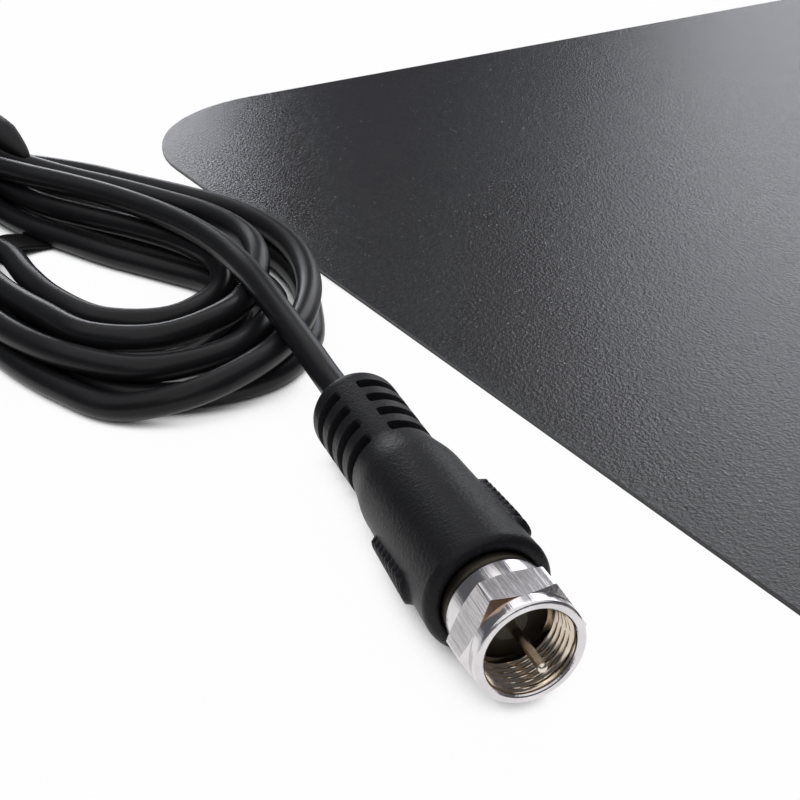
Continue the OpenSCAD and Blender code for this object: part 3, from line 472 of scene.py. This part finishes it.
def boot_lines():
    """Distances and angles of the boot's grid: fine where slots and pads need it."""
    lines = set()
    for i in range(SLOT_N):
        mid = SLOT_FIRST + i * SLOT_PITCH
        for e in (-1, 1):
            lines |= {round(mid + e * (SLOT_W / 2 + k * 0.03), 3) for k in range(-4, 6)}
        lines |= {round(mid + k * 0.2, 3) for k in (-2, 0, 2)}
    lines |= {round(PAD_START - 0.1 + k * 0.1, 3) for k in range(int(PAD_L * 10) + 3)}
    t = BOOT_FRONT + BOOT_EDGE_R
    while t < BOOT_REAR - REAR_ROUND:
        if all(abs(t - k) > 0.2 for k in lines):
            lines.add(round(t, 3))
        t += 0.5
    angles = set()
    off = math.degrees(math.asin(SPINE_W / 2 / SPINE_R))
    for base in (0, 180):
        for e in (-1, 1):
            angles |= {round((base + e * (off + k * 0.35)) % 360, 2) for k in range(-4, 5)}
    for base in (90, 270):
        angles |= {round(base + k * 0.8, 2) for k in range(-28, 29)}
    a = 0.0
    while a < 360:
        if all(min(abs(a - k), 360 - abs(a - k)) > 1.2 for k in angles):
            angles.add(round(a, 2))
        a += 2.0
    return sorted(lines), [math.radians(k) for k in sorted(angles)]


def make_boot():
    """Boot from its front face over the taper and the slots to the hole for the lead."""
    lines, angles = boot_lines()
    rows = []
    face = FACE_D / 2 + PLAY

    def ring(t, r):
        rows.append([(t, r)] * len(angles))

    ring(BOOT_FRONT + 0.7, face)
    ring(BOOT_FRONT + 0.12, face)
    ring(BOOT_FRONT, face + 0.12)
    for k in range(7):
        w = math.radians(90 - 15 * k)
        ring(BOOT_FRONT + BOOT_EDGE_R * (1 - math.sin(w)),
             BOOT_D / 2 - 0.02 - BOOT_EDGE_R * (1 - math.cos(w)))
    for t in lines:
        rows.append([(t, boot_r(t) + boot_relief(t, a)) for a in angles])
    for k in range(9):
        w = math.radians(11.25 * k)
        ring(BOOT_REAR - REAR_ROUND + REAR_ROUND * math.sin(w),
             TAIL_D / 2 + (REAR_D - TAIL_D) / 2 * math.cos(w))
    ring(BOOT_REAR, LEAD_R + 0.3)
    ring(BOOT_REAR - 0.15, LEAD_R + 0.04)
    ring(BOOT_REAR - 2.0, LEAD_R + 0.04)
    return lathe("boot", rows, angles, 50, closed=False)


boot = make_boot()
boot.data.materials.append(MATS["boot_plastic"])
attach(boot, "antenna")
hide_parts("plug_boot")


# Hexagon: radius of its sharp corners, and where and how steeply its two chamfers rise
NUT_CORNER = NUT_AF / 2 / math.cos(math.pi / 6)
CHAMFER_T, CHAMFER_SLOPE, REAR_T, REAR_SLOPE = COLLAR_L, 1.9, 5.3, 2.1
# Internal thread of 32 turns to the inch: pitch and depth
THREAD_PITCH, THREAD_H = 25.4 / 32, 0.38


def hex_r(a):
    """Radius of the hexagon at an angle, with its corners cut down a little."""
    step = math.pi / 3
    off = math.fmod(a - math.radians(NUT_TURN) + 6 * step, step) - step / 2
    return min(NUT_AF / 2 / math.cos(off), NUT_CORNER - 0.03)


def make_nut():
    """Nut: collar, chamfered hexagon and neck outside, then the bore with its thread."""
    count = 240
    # The angles fall on the six corners, so that each flat ends in a crisp edge
    angles = [math.radians(NUT_TURN) + w for w in even(count)]
    rows = []

    def ring(t, r):
        rows.append([(t, r)] * count)

    collar, neck = COLLAR_D / 2, NUT_AF / 2 - 0.2
    round_r = 0.34
    ring(0.0, collar - round_r)
    for k in range(1, 7):
        w = math.radians(90 - 15 * k)
        ring(round_r * (1 - math.sin(w)), collar - round_r + round_r * math.cos(w))
    for t in (0.7, 1.1, CHAMFER_T - 0.05):
        ring(t, collar)
    front = [CHAMFER_T + (hex_r(a) - collar) / CHAMFER_SLOPE for a in angles]
    rear = [REAR_T - (hex_r(a) - neck) / REAR_SLOPE for a in angles]
    for u in (0.0, 0.33, 0.66):
        rows.append([(CHAMFER_T + u * (f - CHAMFER_T), collar + u * (hex_r(a) - collar))
                     for f, a in zip(front, angles)])
    for u in (0.0, 0.02, 0.2, 0.4, 0.6, 0.8, 0.98, 1.0):
        rows.append([(f + u * (g - f), hex_r(a)) for f, g, a in zip(front, rear, angles)])
    for u in (0.33, 0.66, 1.0):
        rows.append([(g + u * (REAR_T - g), hex_r(a) + u * (neck - hex_r(a)))
                     for g, a in zip(rear, angles)])
    hole = BARREL_D / 2 + PLAY
    for t, r in ((5.6, neck), (6.6, neck), (NUT_L - 0.35, neck - 0.04), (NUT_L - 0.2, neck - 0.1),
                 (NUT_L - 0.06, neck - 0.24), (NUT_L, neck - 0.4), (NUT_L, hole),
                 (BORE_L + 0.05, hole), (BORE_L, BARREL_D / 2 + 0.1), (BORE_L, BORE_D / 2 + 0.4)):
        ring(t, r)
    # The thread runs from the undercut to the chamfered mouth, where it fades out
    crest, root = BORE_D / 2, BORE_D / 2 + THREAD_H
    start, end = BORE_L - 1.0, 0.55
    ring(start + 0.3, root)
    steps = int((start - end) / THREAD_PITCH * 12)
    for k in range(steps + 1):
        base = start - (start - end) * k / steps
        row = []
        for a in angles:
            phase = math.fmod(base / THREAD_PITCH + a / (2 * math.pi) + 10, 1.0)
            height = smooth_step(1 - abs(phase - 0.5) * 2.6)
            fade = smooth_step((base - end) / 0.5)
            row.append((base, root + (crest - root) * height * (0.25 + 0.75 * fade)))
        rows.append(row)
    ring(0.4, MOUTH_D / 2 - 0.02)
    ring(0.22, MOUTH_D / 2 + 0.04)
    ring(0.08, MOUTH_D / 2 + 0.14)
    ring(0.0, MOUTH_D / 2 + 0.26)
    return lathe("nut", rows, angles, 17)


nut = make_nut()
nut.data.materials.append(MATS["nickel"])
nut.data.materials.append(MATS["nickel_bore_painted_reflection"])
nut.data.materials.append(MATS["nickel_worn"])
# The bore gets a warm tint, a painted reflection, from a little behind the mouth, out to this radius
BORE_FROM, BORE_REACH = 0.3, BORE_D / 2 + 0.45
# The chamfer is worn at the upper corner: how far faces lean forward, and angle in radians
WORN_SLANT, WORN_TURN = 0.5, 0.4
to_plug = plug_frame.inverted()
mouth_way = (plug_frame.to_3x3() @ Vector((1, 0, 0))).normalized()
for p in nut.data.polygons:
    x, y, z = to_plug @ p.center
    slant = p.normal.dot(mouth_way)
    turn = abs(math.atan2(-y, z) - math.radians(NUT_TURN))
    if x < -BORE_FROM and math.hypot(y, z) < BORE_REACH:
        p.material_index = 1
    elif x < -CHAMFER_T and slant > WORN_SLANT and turn < WORN_TURN:
        p.material_index = 2
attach(nut, "nut")
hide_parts("coupling_nut")


def make_flange():
    """Body behind the nut: a flange with a rounded rim, and the neck that the boot grips."""
    r, inner, neck = FACE_D / 2 - PLAY, BARREL_D / 2 + PLAY, 4.4
    front, back, end = NUT_L + 0.15, BOOT_FRONT + 0.6, 16.0
    profile = [(front, inner), (front, r - 0.9), (front + 0.1, r - 0.8), (front + 0.1, r - 0.35),
               (front + 0.16, r - 0.16), (front + 0.3, r - 0.04), (front + 0.5, r),
               (back, r), (back, neck), (end, neck), (end, inner)]
    return turned("body", profile, 120, 40)


body = make_flange()
# The flange sits in shade behind the nut: its dark nickel is painted shade
body.data.materials.append(MATS["nickel_painted_shade"])
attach(body, "antenna")
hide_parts("connector_body")


def make_pin():
    """Contact pin: solid wire cut at a round tip, standing in the middle of the mouth."""
    r, stem, tip, out, seat = 0.5, 0.35, 0.42, 2.5, BORE_L - 1.2
    profile = [(seat + 12, stem), (seat, stem), (seat, r - 0.05), (seat - 0.1, r)]
    profile += [(seat - k * 0.5, r) for k in range(1, 14)]
    for k in range(7):
        w = math.radians(15 * k)
        profile.append((-out + tip - tip * math.sin(w), r - tip + tip * math.cos(w)))
    profile.append((-out, 0.002))
    return turned("pin", profile, 32, 40, closed=False)


pin = make_pin()
pin.data.materials.append(MATS["pin_metal"])
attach(pin, "antenna")
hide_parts("centre_pin")

# Hank frame, in millimetres: s runs from the waist to the plug, q to the side of the sheet
HANK_AT = Vector((-209.0, 105.0, 0.0))
HANK_S, HANK_Q = Vector((0.155, -0.988, 0.0)), Vector((0.988, 0.155, 0.0))
# Tie: place along the hank, width and thickness of its band, and place of its tail
TIE_AT, TIE_W, TIE_T, TAIL_AT = 9.0, 4.0, 0.75, 37.0
# Head that the band is pulled through: centre, half lengths, share it narrows by, and slope
HEAD_AT, HEAD_HALF, HEAD_SLIM, HEAD_DROOP = (TIE_AT + 4.6, 12.2, 10.8), (8.8, 2.7, 2.1), 0.55, 0.19
# Line of the tail, tucked flat between the two sides of the lobe: [q, z]
TAIL = [(6.2, 0.6), (4.4, 0.8), (2.4, 1.3), (0.4, 1.7), (-1.6, 1.5), (-3.4, 0.9), (-5.2, 0.6)]
# Height of the band's ribs, its lowest height, and half width within which strands are the hank's
TIE_RIBS, BAND_LOW, HANK_REACH = 0.1, 0.45, 30


def hank_point(s, q, z):
    """Point of the scene, in metres, from a point in the hank's frame."""
    return (HANK_AT + HANK_S * s + HANK_Q * q + Vector((0, 0, z))) * MM


def strands_at(s):
    """Where the lead passes through a plane across the hank."""
    found = []
    local = [((p / MM - HANK_AT).dot(HANK_S), (p / MM - HANK_AT).dot(HANK_Q), p.z / MM)
             for p in line]
    for a, b in zip(local, local[1:]):
        if (a[0] - s) * (b[0] - s) <= 0 and a[0] != b[0] and abs(a[1]) < HANK_REACH:
            u = (s - a[0]) / (b[0] - a[0])
            found.append((a[1] + u * (b[1] - a[1]), a[2] + u * (b[2] - a[2])))
    return found


def wrapped(centres, radius):
    """Outline of a band pulled round circles: their convex hull, kept off the floor."""
    points = sorted((q + radius * math.cos(k * math.pi / 12),
                     max(z + radius * math.sin(k * math.pi / 12), BAND_LOW))
                    for q, z in centres for k in range(24))

    def half(row):
        out = []
        for p in row:
            while len(out) > 1 and ((out[-1][0] - out[-2][0]) * (p[1] - out[-2][1])
                                    - (out[-1][1] - out[-2][1]) * (p[0] - out[-2][0])) <= 0:
                out.pop()
            out.append(p)
        return out[:-1]

    return half(points) + half(points[::-1])


def resampled(loop, count):
    """Points at even distances along a closed line."""
    loop = [Vector(p) for p in loop]
    ends = loop[1:] + loop[:1]
    total = sum((b - a).length for a, b in zip(loop, ends))
    out, gone, k = [], 0.0, 0
    for i in range(count):
        want = total * i / count
        while gone + (ends[k] - loop[k]).length < want:
            gone += (ends[k] - loop[k]).length
            k += 1
        out.append(loop[k].lerp(ends[k], (want - gone) / (ends[k] - loop[k]).length))
    return out


def band_section(width, thick):
    """Rounded flat section: [along the hank, outwards]."""
    parts = 4
    r, out = thick / 2, []
    for sign, start in ((1, -90), (-1, 90)):
        for k in range(parts + 1):
            w = math.radians(start + 180 * k / parts)
            out.append((sign * (width / 2 - r) + r * math.cos(w), r * math.sin(w)))
    return out


def strip(points, outward, section, closed):
    """Sweep a flat section along points; outward gives the section's second axis."""
    verts, faces = [], []
    n, m = len(points), len(section)
    for i, (p, o) in enumerate(zip(points, outward)):
        lift = TIE_RIBS * (0.5 - 0.5 * math.cos(i * math.pi / 2))
        for along, out in section:
            verts.append((p[0] + along, p[1] + o[0] * (out + (lift if out > 0 else 0)),
                          p[2] + o[1] * (out + (lift if out > 0 else 0))))
    for i in range(n if closed else n - 1):
        for j in range(m):
            up, on = (i + 1) % n, (j + 1) % m
            faces.append((i * m + j, i * m + on, up * m + on, up * m + j))
    if not closed:
        faces += [tuple(range(m)), tuple(range((n - 1) * m, n * m))]
    return verts, faces


def normals(loop, closed):
    """Outward direction at each point of a line."""
    out = []
    for i in range(len(loop)):
        a = loop[i - 1] if closed or i else loop[i]
        b = loop[(i + 1) % len(loop)] if closed or i < len(loop) - 1 else loop[i]
        d = (b - a).normalized()
        out.append((d.y, -d.x))
    return out


def rounded(x):
    """Swell a sine or cosine, so that a ball turns into a rounded block."""
    return math.copysign(abs(x) ** 0.75, x)


def tie_head():
    """Points and faces of the tie's head, a rounded block that narrows towards the plug."""
    sides, rounds = 28, 14
    verts, faces = [], []
    for i in range(rounds + 1):
        lat = math.pi * (i / rounds - 0.5)
        wide, up = rounded(math.cos(lat)), rounded(math.sin(lat))
        for j in range(sides):
            lon = 2 * math.pi * j / sides
            along = HEAD_HALF[0] * wide * rounded(math.cos(lon))
            slim = 1 - HEAD_SLIM * max(0.0, along / HEAD_HALF[0])
            verts.append((HEAD_AT[0] + along,
                          HEAD_AT[1] + HEAD_HALF[1] * slim * wide * rounded(math.sin(lon)),
                          HEAD_AT[2] + HEAD_HALF[2] * slim * up - HEAD_DROOP * along))
    for i in range(rounds):
        for j in range(sides):
            k = (j + 1) % sides
            faces.append((i * sides + j, i * sides + k, (i + 1) * sides + k, (i + 1) * sides + j))
    return verts, faces


def make_tie():
    """Band round the strands, its head on the bundle's upper outside corner, and its tail."""
    ring = resampled(wrapped(strands_at(TIE_AT), LEAD_R + TIE_T / 2 + 0.05), 264)
    tail = curve_points([Vector(p) for p in TAIL], 12)
    band = strip([(TIE_AT, p.x, p.y) for p in ring], normals(ring, True),
                 band_section(TIE_W, TIE_T), True)
    end = strip([(TAIL_AT, p.x, p.y) for p in tail], [(-a, -b) for a, b in normals(tail, False)],
                band_section(TIE_W + 2.6, TIE_T), False)
    verts, faces = [], []
    for some_verts, some_faces in (band, tie_head(), end):
        faces += [tuple(len(verts) + k for k in f) for f in some_faces]
        verts += some_verts
    return mesh_object("tie", [hank_point(*v) for v in verts], faces, 40)


tie = make_tie()
tie.data.materials.append(MATS["tie_plastic"])
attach(tie, "antenna")
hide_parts("hank_tie")

# White floor that glows for the camera and in reflections, as in a bleached product photo
floor = mesh_object("floor", [(-3, -3, 0), (3, -3, 0), (3, 3, 0), (-3, 3, 0)], [(0, 1, 2, 3)])
fm = Mat("floor_white", Base_Color=(0.9, 0.9, 0.9), Roughness=0.9)
glow = fm.node("Emission", in_Color=(1, 1, 1, 1), in_Strength=1.0)
lp = fm.node("LightPath")
seen = fm.node("Math", [(lp.outputs["Is Camera Ray"], 0), (lp.outputs["Is Glossy Ray"], 1)],
               operation="MAXIMUM")
# Painted shade: ambient occlusion cuts the floor's glow, so slits between strands stay dark; the floor
# glows only where it is open
painted_shade_ao = fm.node("AmbientOcclusion", samples=12, in_Distance=0.02)
open_floor = fm.node("MapRange", [(painted_shade_ao.outputs["AO"], "Value")],
                     in_From_Min=0.16, in_From_Max=0.44, in_To_Max=0.97)
part = fm.node("Math", [(seen.outputs[0], 0), (open_floor.outputs["Result"], 1)],
               operation="MULTIPLY")
mix = fm.node("MixShader", [(part.outputs[0], "Fac"), (fm.bsdf.outputs[0], 1), (glow.outputs[0], 2)])
fm.nt.links.new(mix.outputs[0], fm.nt.nodes["Material Output"].inputs["Surface"])
floor.data.materials.append(fm.m)

# Studio: dim and bluish as a light, white where the camera sees it
world = bpy.data.worlds.new("studio")
world.use_nodes = True
bpy.context.scene.world = world
wt = world.node_tree
background = wt.nodes["Background"]
background.inputs["Color"].default_value = (0.9, 0.92, 1.0, 1)
background.inputs["Strength"].default_value = 0.12
white = wt.nodes.new("ShaderNodeBackground")
white.inputs["Color"].default_value = (1, 1, 1, 1)
white.inputs["Strength"].default_value = 1.0
path = wt.nodes.new("ShaderNodeLightPath")
blend = wt.nodes.new("ShaderNodeMixShader")
wt.links.new(path.outputs["Is Camera Ray"], blend.inputs["Fac"])
wt.links.new(background.outputs[0], blend.inputs[1])
wt.links.new(white.outputs[0], blend.inputs[2])
wt.links.new(blend.outputs[0], wt.nodes["World Output"].inputs["Surface"])


def lamp(name, place, target, size, power, colour=(1.0, 1.0, 1.0)):
    """Rectangular lamp that faces a target: metres and watts."""
    data = bpy.data.lights.new(name, "AREA")
    data.shape = "RECTANGLE"
    data.size, data.size_y = size
    data.energy = power
    data.color = colour
    ob = collect(bpy.data.objects.new(name, data))
    ob.location = place
    ob.rotation_euler = (Vector(target) - Vector(place)).to_track_quat("-Z", "Y").to_euler()


COOL = (0.93, 0.94, 1.0)
lamp("right_back", (1.045, 0.78, 0.63), (-0.1, 0.04, 0.0), (0.75, 0.92), 5.4, COOL)
lamp("corner", (-0.066, 0.434, 0.073), (-0.155, 0.103, 0.0), (0.127, 0.096), 0.185, COOL)
lamp("top", (-0.25, 0.0, 1.2), (-0.15, 0.05, 0.0), (2.4, 2.4), 16.0)
lamp("back_high", (0.27, 0.61, 0.87), (-0.2, -0.06, 0.0), (1.0, 0.4), 0.85)
lamp("front", (-0.75, -0.7, 0.6), (-0.19, 0.0, 0.0), (0.5, 0.4), 0.5)

bpy.context.scene.view_settings.view_transform = "Standard"
